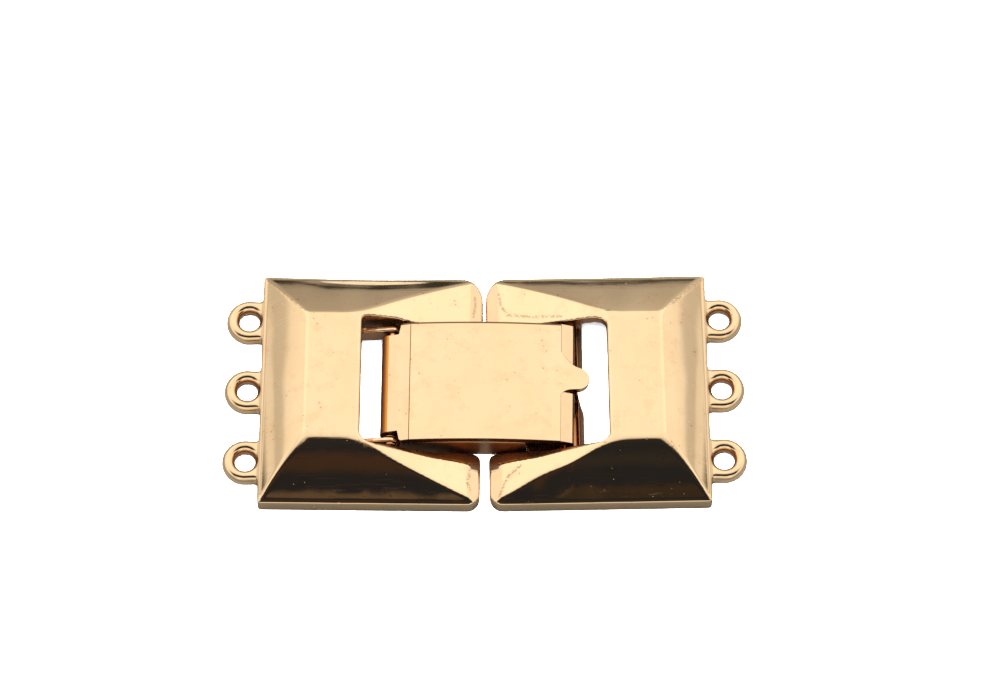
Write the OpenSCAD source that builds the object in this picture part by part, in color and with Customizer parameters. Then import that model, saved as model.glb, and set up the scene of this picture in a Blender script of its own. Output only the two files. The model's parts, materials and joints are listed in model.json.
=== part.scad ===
// Three-strand fold over clasp: two hollow cast halves, a hinged lid, the tongue under it and its pin.
// The origin is under the middle of the seam, on the plane that the clasp lies on.
// +X points to the catch half, +Y across the strands, +Z up.

/* [Halves] */
// Length of one half, from its seam edge to the edge with the loops
half_len = 17.1; // [16.5:0.1:19]
// Width of a half, across the strands
half_w = 19.4; // [19:0.1:22]
// Height of the side walls
wall_z = 1.4; // [1.2:0.05:1.6]
// Height of the flat top of the bar
top_z = 3.7; // [3.5:0.05:4]
// Width of the ledge between a side wall and the slope above it
ledge = 0.2; // [0.1:0.05:0.4]
// Where the flat top of the bar begins, measured from the seam edge
bar_x0 = 9.3; // [9:0.1:9.5]
// Where the flat top of the bar ends, measured from the seam edge
bar_x1 = 13.55; // [13:0.05:14]
// Half the width of the flat top
bar_y = 5.4; // [5.3:0.05:5.8]
// Thickness of the cast roof, measured straight down
skin = 0.9; // [0.7:0.05:1.1]
// Thickness of the outer side walls
side_t = 0.9; // [0.7:0.05:1.2]
// Depth of the inner lip round the window, measured down from the roof
lip_depth = 1.4; // [1.2:0.05:1.6]
// Thickness of the inner lip
lip_t = 0.8; // [0.6:0.05:1]

/* [Seam] */
// Gap between the halves at the middle of the seam
seam_gap = 0.47; // [0.4:0.01:0.6]
// Angle that each half is turned by, which opens the seam to one side
splay = 0.9; // [0:0.1:1]
// Corner radius of a half at the narrow end of the seam
seam_r_narrow = 1.75; // [1:0.05:2]
// Corner radius of a half at the wide end of the seam
seam_r_wide = 1.05; // [0.5:0.05:2]
// Radius of the corners next to the loops
loop_side_r = 0.3; // [0.1:0.05:0.6]
// Length of the bevel that runs down to the seam edge
seam_bevel = 0.9; // [0.4:0.1:1.2]
// Height of the seam edge
seam_z = 1.15; // [1:0.05:1.3]

/* [Window] */
// Half the width of the window
window_y = 5.4; // [5.35:0.05:5.6]
// Radius of the window's corners beside the bar
window_r = 0.45; // [0.2:0.05:0.8]
// Radius of the arms' inner corners at the seam
arm_r = 0.6; // [0.3:0.05:0.8]
// How far the inner bevel of the arms on the -Y side reaches into their roof at the seam
arm_bevel_y = 1.25; // [0.8:0.05:1.4]
// How far that bevel drops at the seam
arm_bevel_z = 1.05; // [0.7:0.05:1.2]

/* [Loops] */
// Distance between strands
strand_pitch = 6; // [5.5:0.1:7]
// Radius of the hole in a loop
eye_r = 1; // [0.8:0.05:1.05]
// Outer radius of a loop
loop_r = 1.6; // [1.45:0.05:1.8]
// Distance of a loop's centre from the wall that carries it
loop_reach = 1.02; // [1:0.01:1.2]
// Thickness of a loop
loop_z = 1.35; // [1:0.05:1.4]

/* [Hinge] */
// Distance of the pin from the seam edge
pin_x = 6.95; // [6.8:0.05:7]
// Height of the pin
pin_z = 1.8; // [1.75:0.05:1.85]
// Radius of the pin
pin_r = 0.3; // [0.25:0.01:0.32]
// Radius of the pin's peened heads
pin_head_r = 0.45; // [0.4:0.01:0.5]
// Radius of the lid's knuckle
knuckle_r = 0.8; // [0.7:0.05:0.85]
// Half the length of the knuckle
knuckle_y = 3.97; // [3.9:0.01:3.97]
// Radius of the rounded ends of the lugs
lug_r = 0.6; // [0.5:0.05:0.6]
// Inner face of the lugs, from the middle
lug_y0 = 4.42; // [4.42:0.01:4.45]
// Outer face of the lugs, from the middle
lug_y1 = 4.85; // [4.8:0.01:4.9]
// Depth of the lugs
lug_depth = 1.6; // [1.4:0.05:1.8]

/* [Lid] */
// Half the width of the lid
lid_y = 5; // [4.9:0.05:5]
// Thickness of the lid's sheet
lid_t = 0.6; // [0.5:0.05:0.65]
// Height of the lid above the pin at the top of its arch
arch_z = 1.6; // [1.55:0.05:1.7]
// Height of the lid above the pin at both ends of its arch
arch_end_z = 1.3; // [1.25:0.05:1.35]
// Start of the arch, from the pin
arch_x0 = 1.43; // [1.3:0.01:1.6]
// End of the arch, where the lips bend down, from the pin
arch_x1 = 13.1; // [13:0.05:13.1]
// Start of the lid's full width, from the pin
shoulder_x = 0.85; // [0.85:0.05:1.2]
// Outer radius of the bend above the lips
bend_r = 1; // [0.9:0.05:1]
// How far the lips reach below the pin's height
lip_drop = 1.05; // [0.9:0.05:1.1]
// Inner end of each lip, from the middle
lip_y0 = 1.4; // [1.4:0.05:1.6]
// Reach of the thumb tab past the arch
tab_len = 2.1; // [1.8:0.05:2.2]
// Radius of the thumb tab's tip
tab_r = 0.72; // [0.6:0.02:0.8]

/* [Tongue] */
// Half the width of the tongue
tongue_y = 4.85; // [4.7:0.05:4.9]
// Thickness of the tongue's sheet
tongue_t = 0.4; // [0.3:0.05:0.4]
// Height of the underside of the tongue
tongue_z = 0.1; // [0.05:0.05:0.2]
// Height of the tongue's side walls above the pin
tongue_top = 0.4; // [0.3:0.05:0.45]
// Reach of the tongue from the pin
tongue_len = 10.05; // [9:0.05:10.1]
// Radius of the ears that hang the tongue on the pin
ear_r = 0.45; // [0.45:0.05:0.6]

/* [Catch] */
// Seam side of the catch plate's apron, from the seam edge
apron_x0 = 2.95; // [2.95:0.05:4]
// Thickness of the apron
apron_t = 0.5; // [0.4:0.05:0.8]
// Seam side of the plate's thick part, which has the pockets
catch_x0 = 4.75; // [4.5:0.05:5]
// Seam side of the pockets
slot_x0 = 5.8; // [5.75:0.05:5.85]
// Far side of the pockets
slot_x1 = 6.95; // [6.93:0.01:6.97]
// Height of the pockets' bottom
slot_z = 0.55; // [0.5:0.05:0.6]
// Window side of the catch plate
catch_x1 = 7.42; // [7.4:0.02:7.6]
// Height of the underside of the catch plate
catch_z0 = 0.25; // [0.2:0.05:0.3]
// Height of the top of the catch plate
catch_z1 = 1.35; // [1.2:0.05:1.4]
// Height of the rail beside the pockets
rail_z = 1.6; // [1.35:0.05:1.65]
// Height of the rail's outer edge, which its slope comes down to
rail_edge_z = 0.8; // [0.6:0.05:1.2]
// Half the width of the web between the pockets
web_y = 1.05; // [0.95:0.05:1.1]
// Depth of the thumb notch
notch_depth = 0.45; // [0.3:0.05:0.5]
// Half the width of the thumb notch
notch_y = 1.8; // [1.5:0.1:2]

/* [Hidden] */
gold = [0.88, 0.68, 0.42];
gold_light = [0.95, 0.79, 0.54];
gold_dark = [0.6, 0.4, 0.2];
$fn = 96;
// Facets of the lid's long arch
arch_fn = 720;
// Overlap that lets one shape cut cleanly through another
over = 1;
// Rise of the slope from the seam per millimetre
seam_slope = (top_z - wall_z) / bar_x0;
// Running clearances round the pin
pin_gap_lug = 0.02;
pin_gap_ear = 0.03;
pin_gap_knuckle = 0.05;
// Gap between an ear and what lies beside it
ear_gap = 0.05;
head_t = 0.22;
// Height that the catch plate's sides and the lugs' roots reach into the roof
foot_z = 2;
root_z = 3;
big = 60;

function arch_radius() = (pow((arch_x1 - arch_x0) / 2, 2) + pow(arch_z - arch_end_z, 2)) / 2 / (arch_z - arch_end_z);
function notch_radius() = (notch_y * notch_y + notch_depth * notch_depth) / 2 / notch_depth;

// A corner's waste: a square of side r with a round of radius r taken out, for the corner at +X +Y
module corner_waste(r) {
    difference() {
        translate([-r, -r]) square(r + over);
        translate([-r, -r]) circle(r);
    }
}

// Outline of a half with all its walls moved in by inset
module half_outline(inset) {
    w = half_w / 2 - inset;
    difference() {
        translate([inset, -w]) square([half_len - 2 * inset, 2 * w]);
        translate([inset, w]) mirror([1, 0]) corner_waste(max(seam_r_narrow - inset, 0.2));
        translate([inset, -w]) rotate(180) corner_waste(max(seam_r_wide - inset, 0.2));
        translate([half_len - inset, w]) corner_waste(loop_side_r);
        translate([half_len - inset, -w]) mirror([0, 1]) corner_waste(loop_side_r);
    }
}

// Hipped roof of a half, lowered by drop and open downwards
module roof(drop) {
    w = half_w / 2;
    intersection() {
        translate([0, big / 2, -drop]) rotate([90, 0, 0]) linear_extrude(big)
            polygon([[0, -big], [0, seam_z], [seam_bevel, wall_z + seam_bevel * seam_slope], [bar_x0, top_z],
                [bar_x1, top_z], [half_len - ledge, wall_z], [half_len + over, wall_z], [half_len + over, -big]]);
        translate([-over, 0, -drop]) rotate([90, 0, 90]) linear_extrude(big)
            polygon([[-w - over, -big], [-w - over, wall_z], [-w + ledge, wall_z], [-bar_y, top_z],
                [bar_y, top_z], [w - ledge, wall_z], [w + over, wall_z], [w + over, -big]]);
    }
}

// Window outline grown by grow, open to the seam
module window_outline(grow) {
    x = bar_x0 + grow;
    y = window_y + grow;
    difference() {
        translate([-big, -y]) square([big + x, 2 * y]);
        translate([x, y]) corner_waste(window_r);
        translate([x, -y]) mirror([0, 1]) corner_waste(window_r);
    }
    if (grow == 0) {
        for (s = [0, 1]) mirror([0, s]) translate([0, y]) rotate(180) corner_waste(arm_r);
    }
}

// Everything above an arm's inner bevel, drawn for the arm on the +Y side; only the arms on the -Y side have one
module arm_bevel_waste() {
    at_bar = [bar_x0, window_y, top_z];
    at_seam = [0, window_y + arm_bevel_y, wall_z];
    below = [0, window_y, wall_z - arm_bevel_z];
    n = cross(at_seam - at_bar, below - at_bar);
    intersection() {
        translate(at_bar) rotate([0, acos(n.z / norm(n)), atan2(n.y, n.x)])
            translate([-big / 2, -big / 2, 0]) cube(big);
        translate([-over, window_y - over, -over]) cube([bar_x0 + over, half_w / 2, top_z + 2 * over]);
    }
}

// One loop for a strand, on the wall at half_len
module loop_eye(y) {
    translate([half_len, y, 0]) {
        difference() {
            union() {
                translate([loop_reach, 0, 0]) cylinder(h = loop_z, r = loop_r);
                translate([-side_t / 2, -loop_r, 0]) cube([side_t / 2 + loop_reach, 2 * loop_r, loop_z]);
            }
            translate([loop_reach, 0, -over]) cylinder(h = loop_z + 2 * over, r = eye_r);
        }
    }
}

// Hollow casting that both halves share, with its seam edge at X 0 and its loops towards +X
module casting() {
    difference() {
        intersection() {
            roof(0);
            linear_extrude(big) half_outline(0);
        }
        intersection() {
            roof(lip_depth);
            translate([0, 0, -over]) linear_extrude(big) half_outline(side_t);
        }
        difference() {
            intersection() {
                roof(skin);
                translate([0, 0, -over]) linear_extrude(big) half_outline(side_t);
            }
            translate([0, 0, -2 * over]) linear_extrude(big) window_outline(lip_t);
        }
        translate([0, 0, -over]) linear_extrude(big) window_outline(0);
        mirror([0, 1, 0]) arm_bevel_waste();
    }
    for (i = [-1, 0, 1]) loop_eye(i * strand_pitch);
}

// Puts a half, drawn with its seam edge at X 0 and pointing to +X, where it lies
module place_right() {
    translate([(seam_gap + half_len) / 2, 0, 0]) rotate([0, 0, splay]) translate([-half_len / 2, 0, 0]) children();
}

// The same for what belongs to the left half, drawn with its seam edge at X 0 and pointing to -X
module place_left() {
    translate([-(seam_gap + half_len) / 2, 0, 0]) rotate([0, 0, -splay]) translate([half_len / 2, 0, 0]) children();
}

// A cylinder along Y between two distances from the middle
module rod_y(r, y0, y1) {
    translate([0, y1, 0]) rotate([90, 0, 0]) cylinder(h = y1 - y0, r = r);
}

// One hinge lug, with the pin's axis at X 0 and Z 0 and the bar towards -X
module lug() {
    reach = bar_x0 - pin_x;
    difference() {
        union() {
            rod_y(lug_r, lug_y0, lug_y1);
            translate([-reach - lip_t / 2, lug_y0, lug_r - lug_depth])
                cube([reach + lip_t / 2, lug_y1 - lug_y0, lug_depth]);
            translate([-reach - lip_t, lug_y0, lug_r - lug_depth])
                cube([lip_t, lug_y1 - lug_y0, root_z - pin_z - lug_r + lug_depth]);
        }
        rod_y(pin_r + pin_gap_lug, lug_y0 - over, lug_y1 + over);
    }
}

module left_half() color(gold) place_left() {
    mirror([1, 0, 0]) casting();
    for (s = [0, 1]) mirror([0, s, 0]) translate([-pin_x, 0, pin_z]) lug();
}

// Plate under the lid's free end, with two pockets that the lips hook into behind a sloping rail
module catch_plate() {
    r = notch_radius();
    reach = window_y + lip_t;
    difference() {
        union() {
            translate([apron_x0, -reach, catch_z1 - apron_t]) cube([slot_x1 - apron_x0, 2 * reach, apron_t]);
            translate([catch_x0, -reach, catch_z0]) cube([slot_x1 - catch_x0, 2 * reach, catch_z1 - catch_z0]);
            translate([0, reach, 0]) rotate([90, 0, 0]) linear_extrude(2 * reach)
                polygon([[slot_x1, catch_z0], [slot_x1, rail_z], [catch_x1, rail_edge_z], [catch_x1, catch_z0]]);
            for (s = [0, 1]) mirror([0, s, 0]) translate([catch_x0, window_y, catch_z0])
                cube([catch_x1 - catch_x0, lip_t, foot_z - catch_z0]);
        }
        for (s = [0, 1]) mirror([0, s, 0]) translate([slot_x0, web_y, slot_z])
            cube([slot_x1 - slot_x0, window_y - web_y, rail_z]);
        translate([catch_x1 - notch_depth + r, 0, 0]) cylinder(h = rail_z + over, r = r);
    }
}

module right_half() color(gold) place_right() {
    casting();
    catch_plate();
}

module tongue() color(gold_dark) place_left() translate([-pin_x, 0, pin_z]) {
    floor_z = tongue_z - pin_z;
    ear_y0 = knuckle_y + ear_gap;
    ear_y1 = lug_y0 - ear_gap;
    wall_x = lug_r + 3 * ear_gap;
    translate([-lug_r, -tongue_y, floor_z]) cube([lug_r + tongue_len, 2 * tongue_y, tongue_t]);
    for (s = [0, 1]) mirror([0, s, 0]) {
        translate([wall_x, tongue_y - tongue_t, floor_z])
            cube([tongue_len - wall_x, tongue_t, tongue_top - floor_z]);
        difference() {
            union() {
                rod_y(ear_r, ear_y0, ear_y1);
                translate([-ear_r, ear_y0, floor_z]) cube([2 * ear_r, ear_y1 - ear_y0, -floor_z]);
            }
            rod_y(pin_r + pin_gap_ear, ear_y0 - over, ear_y1 + over);
        }
    }
}

module hinge_pin() color(gold_dark) place_left() translate([-pin_x, 0, pin_z]) {
    rod_y(pin_r, -lug_y1 - head_t, lug_y1 + head_t);
    for (s = [0, 1]) mirror([0, s, 0]) rod_y(pin_head_r, lug_y1 + pin_gap_lug, lug_y1 + head_t);
}

// The lid's sheet between two distances from the middle, from the shoulder to the end of the arch
module lid_arch(y0, y1) {
    r = arch_radius();
    mid_x = (arch_x0 + arch_x1) / 2;
    intersection() {
        translate([mid_x, 0, arch_z - r]) difference() {
            translate([0, y1, 0]) rotate([90, 0, 0]) cylinder(h = y1 - y0, r = r, $fn = arch_fn);
            translate([0, y1 + over, 0]) rotate([90, 0, 0])
                cylinder(h = y1 - y0 + 2 * over, r = r - lid_t, $fn = arch_fn);
        }
        translate([arch_x0, y0, 0]) cube([arch_x1 - arch_x0, y1 - y0, big]);
    }
}

// The sloping strip between the arch and the knuckle, between two distances from the middle
module lid_slope(x0, y0, y1) {
    d = norm([arch_x0, arch_end_z]);
    touch = atan2(arch_end_z, arch_x0) + acos(knuckle_r / d);
    from = knuckle_r * [cos(touch), sin(touch)];
    rise = (arch_end_z - from.y) / (arch_x0 - from.x);
    start = max(x0, from.x);
    start_z = from.y + (start - from.x) * rise;
    fall = lid_t / cos(atan(rise));
    translate([0, y1, 0]) rotate([90, 0, 0]) linear_extrude(y1 - y0)
        polygon([[start, start_z], [arch_x0, arch_end_z], [arch_x0, arch_end_z - fall], [start, start_z - fall]]);
}

// One of the two lips at the lid's free end, with the bend above it
module lid_lip() {
    z = arch_end_z - bend_r;
    y0 = lip_y0;
    y1 = lid_y;
    intersection() {
        translate([arch_x1, 0, z]) difference() {
            rod_y(bend_r, y0, y1);
            rod_y(bend_r - lid_t, y0 - over, y1 + over);
        }
        translate([arch_x1, y0, z]) cube([bend_r, y1 - y0, bend_r]);
    }
    translate([arch_x1 + bend_r - lid_t, y0, -lip_drop]) cube([lid_t, y1 - y0, lip_drop + z]);
}

// The thumb tab, in line with the lid's sheet
module thumb_tab() {
    tip_x = arch_x1 + tab_len - tab_r;
    base_x = arch_x1 + bend_r;
    translate([0, 0, arch_end_z - lid_t]) linear_extrude(lid_t) {
        polygon([[arch_x1 - lid_t / 2, -lip_y0], [arch_x1 + bend_r / 2, -lip_y0], [base_x, -1.2 * tab_r - bend_r / 4],
            [tip_x + 0.3 * tab_r, -0.95 * tab_r], [tip_x + 0.3 * tab_r, 0.95 * tab_r],
            [base_x, 1.2 * tab_r + bend_r / 4], [arch_x1 + bend_r / 2, lip_y0], [arch_x1 - lid_t / 2, lip_y0]]);
        translate([tip_x, 0]) circle(tab_r);
    }
}

module lid() color(gold_light) place_left() translate([-pin_x, 0, pin_z]) {
    difference() {
        union() {
            rod_y(knuckle_r, -knuckle_y, knuckle_y);
            lid_slope(-knuckle_r, -knuckle_y, knuckle_y);
            lid_slope(shoulder_x, -lid_y, lid_y);
            lid_arch(-lid_y, lid_y);
        }
        rod_y(pin_r + pin_gap_knuckle, -knuckle_y - over, knuckle_y + over);
    }
    for (s = [0, 1]) mirror([0, s, 0]) lid_lip();
    thumb_tab();
}

left_half();
right_half();
tongue();
hinge_pin();
lid();
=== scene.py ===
import json
import math

import bmesh
import bpy
from bpy.props import FloatProperty, FloatVectorProperty, IntProperty, PointerProperty
from bpy.types import Operator, Panel, PropertyGroup
from mathutils import Matrix, Vector, noise


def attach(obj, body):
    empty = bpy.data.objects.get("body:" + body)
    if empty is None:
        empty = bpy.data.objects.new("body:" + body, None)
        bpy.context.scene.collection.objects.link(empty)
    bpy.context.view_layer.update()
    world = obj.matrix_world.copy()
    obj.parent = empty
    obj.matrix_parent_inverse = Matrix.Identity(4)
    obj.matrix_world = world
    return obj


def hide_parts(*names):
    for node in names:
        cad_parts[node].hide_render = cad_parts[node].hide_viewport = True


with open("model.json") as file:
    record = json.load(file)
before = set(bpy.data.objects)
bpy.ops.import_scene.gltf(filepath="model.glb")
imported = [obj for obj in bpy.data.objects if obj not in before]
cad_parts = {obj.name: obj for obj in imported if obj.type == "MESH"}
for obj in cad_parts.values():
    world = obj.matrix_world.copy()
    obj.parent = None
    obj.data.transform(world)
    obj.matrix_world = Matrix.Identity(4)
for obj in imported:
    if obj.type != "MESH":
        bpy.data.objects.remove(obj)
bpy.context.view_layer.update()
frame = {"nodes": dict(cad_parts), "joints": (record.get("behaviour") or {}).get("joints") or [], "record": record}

bl_info = {
    "name": "Three-strand fold over clasp",
    "version": (1, 0, 0),
    "blender": (4, 5, 0),
    "location": "3D View > Sidebar > Clasp",
    "description": "Dresses the packed clasp with rounded castings, a folded sheet lid and polished gold",
    "category": "Object",
}

MM = 0.001
MERGE = 0.0005 * MM  # points closer than this are one

# The halves, each in a frame of its own: X from its seam edge to its eyes, Y across the strands, Z up

HALF_LEN = 17.1 * MM  # from the seam edge to the wall with the eyes
HALF_W = 19.4 * MM
TOP_Z = 3.7 * MM
WALL_Z = 1.4 * MM
LEDGE = 0.2 * MM
BAR_X0 = 9.3 * MM  # the flat top of the bar
BAR_X1 = 13.55 * MM
BAR_Y = 5.4 * MM
WINDOW_Y = 5.4 * MM
LOW_ROOF = 0.3 * MM  # the roof is taken to be at least this high
WAVE = 0.024 * MM  # unevenness that the polishing left in the castings
WAVE_LEN = 3.0 * MM
SEAM_FADE = 0.4 * MM  # how softly the bar's top runs into the slope from the seam
BELLY_SKEW = 1.2  # how much more the slope to the eyes bulges on the near side
NEAR_RIDGE = 0.4  # rounding of the near ridges as a share of the others'
FLANK_SAG = {"left": 0.22 * MM, "right": 0.05 * MM}  # extra roundness of the far flank beside its rim

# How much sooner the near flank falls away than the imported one, and the same again halfway along its bend
NEAR_FLANK = {"left": 0.36 * MM, "right": 0.14 * MM}
NEAR_BEND = {"left": 0.12 * MM, "right": 0.9 * MM}
BEND_X = 6.6 * MM  # the end of that bend, which starts at the seam edge

STRAND_PITCH = 6.0 * MM
EYE_REACH = 1.02 * MM  # from the wall to the middle of an eye
EYE_ROOT = 0.45 * MM  # how deep an eye's loop stands in the wall
EYE_HEIGHT = 1.35 * MM
EYE_BROWN_Z = 1.2 * MM  # the hole of an eye is unpolished and takes the painted shade below this height
EYE_START = 0.2 * MM  # from the wall to the part of an eye that is softened more

LUG_INNER = 4.42 * MM
LUG_OUTER = 4.85 * MM
LUG_ROOM = 0.05 * MM
LUG_REACH = 3.2 * MM  # from the bar to the lug's round end
LUG_ROOT_Z = 3.05 * MM
LUG_TOP_Z = 2.4 * MM
LUG_FALL = 0.33 * MM  # how much lower a lug's top is beside the bar than over the pin
FAR_LUG_SHIFT = 0.17 * MM

# Corners of the deeper wall in the left window, behind the far lug
DEEP_WALL = ((BAR_X0 - 3.8 * MM, WINDOW_Y, 1.1 * MM), (BAR_X0 + 0.3 * MM, WINDOW_Y + 0.8 * MM, 2.4 * MM))

# Plan of the inside of the far arms, which reach almost to the lid, in millimetres
ARM_EDGE = {
    "left": [(0.9, 5.12), (4.6, 5.12), (5.4, 5.17), (6.1, 5.27), (6.8, 5.42), (6.8, 5.6), (0.9, 5.6)],
    "right": [(0.9, 5.12), (5.4, 5.14), (6.8, 5.18), (7.8, 5.19), (8.5, 5.12), (9.0, 4.95), (9.25, 4.65),
              (9.6, 4.65), (9.6, 5.6), (0.9, 5.6)],
}
ARM_EDGE_T = 0.9 * MM

# The metal that rounds the window's near corner beside the bar, in millimetres
NEAR_CORNER_R = {"left": 1.1, "right": 0.85}
NEAR_CORNER_ROOT = 0.05
NEAR_CORNER_T = 3.2 * MM

# The inside of a near arm comes forward beside the seam: in full up to the first X and Y, not past the second
ARM_SHIFT = 0.4 * MM
ARM_SHIFT_X = (1.0 * MM, 4.2 * MM)
ARM_SHIFT_Y = (-5.6 * MM, -8.0 * MM)

# The bevel inside a near arm, and the painted brown shade and painted amber glow on it
BEVEL_X = 5.0 * MM
BEVEL_Y = (-6.9 * MM, -4.9 * MM)
BEVEL_FADE = 1.6 * MM
AMBER_X = 0.9 * MM
AMBER_BELOW = (0.015 * MM, 0.09 * MM)  # below the roof

# Rims that polishing reaches, and how far below the roof it reaches; past them the metal is rougher and painted
# with shade
EYE_RIM = 0.1 * MM
SEAM_RIM = 0.12 * MM
WALL_RIM = 0.15 * MM
WINDOW_RIM = (0.06 * MM, 0.08 * MM)  # along X and Y
WINDOW_DEPTH = 0.12 * MM
NEAR_ARM_DEPTH = 0.06 * MM
ROOF_DEPTH = 0.5 * MM

# In the window it misses faces that look up less than this, lie lower than this or are this close to the bar,
# which take the painted shade
WINDOW_UP = 0.7
WINDOW_LOW_Z = 2.2 * MM
BAR_SHADE = 0.8 * MM
NEAR_ARM = (9.0 * MM, -6.7 * MM)  # where the inside of a near arm ends, along X and Y

# Lines of casting flaws on the slopes from the seam, and one line of painted dark reflection along a hip of the
# right half, in millimetres
FLAW_AND_SHADE_LINES = {
    "left": [[(0.62, 8.0), (0.56, 7.2), (0.72, 6.3)], [(0.8, -8.6), (0.95, -7.9), (0.85, -7.2)]],
    # The second of these lines is no flaw: it paints the dark reflection along the hip
    "right": [[(1.0, 8.2), (1.15, 7.2), (1.6, 6.3), (3.7, 5.85), (5.85, 5.6)], [(14.5, 6.5), (17.0, 9.45)],
              [(0.77, -9.0), (1.1, -8.2), (1.47, -7.45), (2.37, -6.7)]],
}
FLAW_HALF_W = 0.17 * MM
FOOT_LINE = 0.13 * MM  # height of the line of painted shade round the foot, where it meets the floor
RIM_LINE_Z = 0.95 * MM  # the rim above the eyes takes a painted dark reflection from this height

# The lid, the tongue and the pin, in the hinge's frame: X from the pin to the free end, Y along the pin, Z up

KNUCKLE_R = 0.8 * MM
KNUCKLE_BORE = 0.35 * MM
KNUCKLE_HALF_W = 4.14 * MM
ROLL_START = 330.0  # where the sheet's inner end lies round the pin, in degrees
SHOULDER = 0.78 * MM  # from the knuckle to the place where the lid widens
SHOULDER_STEPS = (0.16 * MM, 0.3 * MM)
CORNER = 0.12 * MM
LID_HALF_W = 5.0 * MM
FOLD_X = 1.43 * MM  # the bend line between the slope and the arch
FOLD_Z = 1.3 * MM
ARCH_Z = 1.6 * MM
LIP_X = 13.1 * MM  # the bend line above the lips
ARCH_MID = (FOLD_X + LIP_X) / 2
HALF_CHORD = (LIP_X - FOLD_X) / 2
ARCH_R = (HALF_CHORD ** 2 + (ARCH_Z - FOLD_Z) ** 2) / 2 / (ARCH_Z - FOLD_Z)
GROOVE = 0.03 * MM  # half the width of the fine crease along the first bend
GROOVE_DEPTH = 0.06 * MM
FAR_STRIP = 4.86 * MM  # from here the lid's far edge takes a painted dark line of shade
FINE_LINE = 0.035 * MM  # half the width of the painted dark line of shade above the lips
LIP_JOINT = 0.1 * MM  # half the width of the joint of plate and lips, which isn't a cut edge
LIP_JOINT_Y = 0.7 * MM  # where it starts, on both sides of the tab
ROUGH_X = -0.5 * MM  # the knuckle's outside is rough up to here, and takes the painted shade
AMBER_SPAN = (ROUGH_X, -0.12 * MM)  # and its upper side takes a painted amber glow along this
AMBER_Z = 0.6 * MM

LIP_END = 14.2 * MM  # outer face of the lips
LIP_DROP = 1.05 * MM
LIP_SLOPE = math.radians(21.0)
LIP_KNEE = 0.3 * MM  # from the end of a lip's facet to its outer face
LIP_TURN_R = 0.35 * MM
LIP_INNER = {"far": 1.3 * MM, "near": -0.8 * MM}
HOOK_INNER = 1.4 * MM  # a lip's foot starts further out than its facet
HOOK_TAPER = 0.5 * MM
TAB_R = 0.92 * MM
TAB_Y = 0.4 * MM
TAB_TURN = (-78.0, 72.0)
NEAR_FLARE = [(0.0, -1.05), (0.25, -0.62), (0.85, -0.56)]  # from the bend line, in millimetres
FAR_FLARE = [(1.25, 1.38), (0.75, 1.55), (0.0, 2.6)]

TONGUE_HALF_W = 4.85 * MM
TONGUE_LONGER = 0.12 * MM
TONGUE_SKEW = 0.033  # how much more its end comes forward for each step towards the near side
TONGUE_ARCH = 0.8  # how much of the lid's arch the tongue's top takes up
TONGUE_CELL = 0.1 * MM
EAR_INNER = 4.02 * MM  # inner faces of the ears that hang the tongue on the pin
EAR_THINNING = 0.17 * MM

PIN_R = 0.3 * MM
HEAD_R = 0.45 * MM
HEAD_Y = LUG_OUTER + 0.02 * MM
HEAD_RIM = 0.3  # how much of a head's height is straight
PIN_END = 5.07 * MM

# The golds: a colour of the finish, how dull against its roughness, depth of the pits and of the unevenness
GOLDS = {
    "cast_gold": ("plate", 1.0, 0.008 * MM, 0.0012 * MM),
    "sheet_gold": ("plate", 1.0, 0.01 * MM, 0.0008 * MM),
    "tongue_gold": ("plate", 2.0, 0.03 * MM, 0.0012 * MM),
    # The pin's darker, redder gold is painted shade of the gaps by the knuckle's ends
    "pin_gold": ("wire", 2.0, 0.02 * MM, 0.001 * MM),
}

# The studio

DARK = (0.018, 0.02, 0.028)  # the camera's side
WORLD_STRENGTH = 1.16
STREAKS = 0.03  # how far the bands of light waver, as a share of a full turn
FLOOR_HALF = 1500.0 * MM
BOUNCE_CORNERS = ((-32.0 * MM, -21.0 * MM), (32.0 * MM, 15.5 * MM))
BOUNCE_Z = -0.01 * MM


def half_frame(side):
    """From a half's own frame to the row frame, by the record's mounts in its eyes."""
    eyes = {mount["name"]: Vector(mount["pos_m"]) for mount in frame["record"]["mounts"]}
    far, middle, near = (eyes[f"{side}_{place}_eye"] for place in ("far", "middle", "near"))
    across = (far - near).normalized()
    along = Vector((across.y, -across.x, 0.0)) * math.copysign(1.0, middle.x)
    origin = middle - along * (HALF_LEN + EYE_REACH)
    origin.z = 0.0
    turn = Matrix((along, across, Vector((0.0, 0.0, 1.0)))).transposed()
    return Matrix.Translation(origin) @ turn.to_4x4()


def pin_frame():
    """From the hinge's frame to the row frame, by the record's joint."""
    joint = frame["joints"][0]
    along_pin = -Vector(joint["axis"]).normalized()
    up = Vector((0.0, 0.0, 1.0))
    turn = Matrix((along_pin.cross(up), along_pin, up)).transposed()
    return Matrix.Translation(Vector(joint["pos_m"])) @ turn.to_4x4()


# Materials

def set_up(thing, **settings):
    """The thing, such as a node, a modifier or a lamp, with its settings."""
    for name, value in settings.items():
        setattr(thing, name, value)
    return thing


def add_node(tree, kind, place, inputs=(), **settings):
    """A node with its settings, and with each input set to a value or linked to an output."""
    made = set_up(tree.nodes.new(kind), location=place, **settings)
    for name, value in dict(inputs).items():
        if isinstance(value, bpy.types.NodeSocket):
            tree.links.new(value, made.inputs[name])
        else:
            made.inputs[name].default_value = value
    return made


def worked_out(tree, place, a, operation, *more):
    """The result of a sum, whose terms are numbers or outputs."""
    terms = dict(enumerate((a, *more)))
    return add_node(tree, "ShaderNodeMath", place, terms, operation=operation).outputs[0]


def mapped(tree, place, value, low, high, start=0.0, end=1.0):
    """A value's way between two bounds, as a share or between a start and an end."""
    inputs = {"Value": value, "From Min": low, "From Max": high, "To Min": start, "To Max": end}
    return add_node(tree, "ShaderNodeMapRange", place, inputs).outputs[0]


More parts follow.
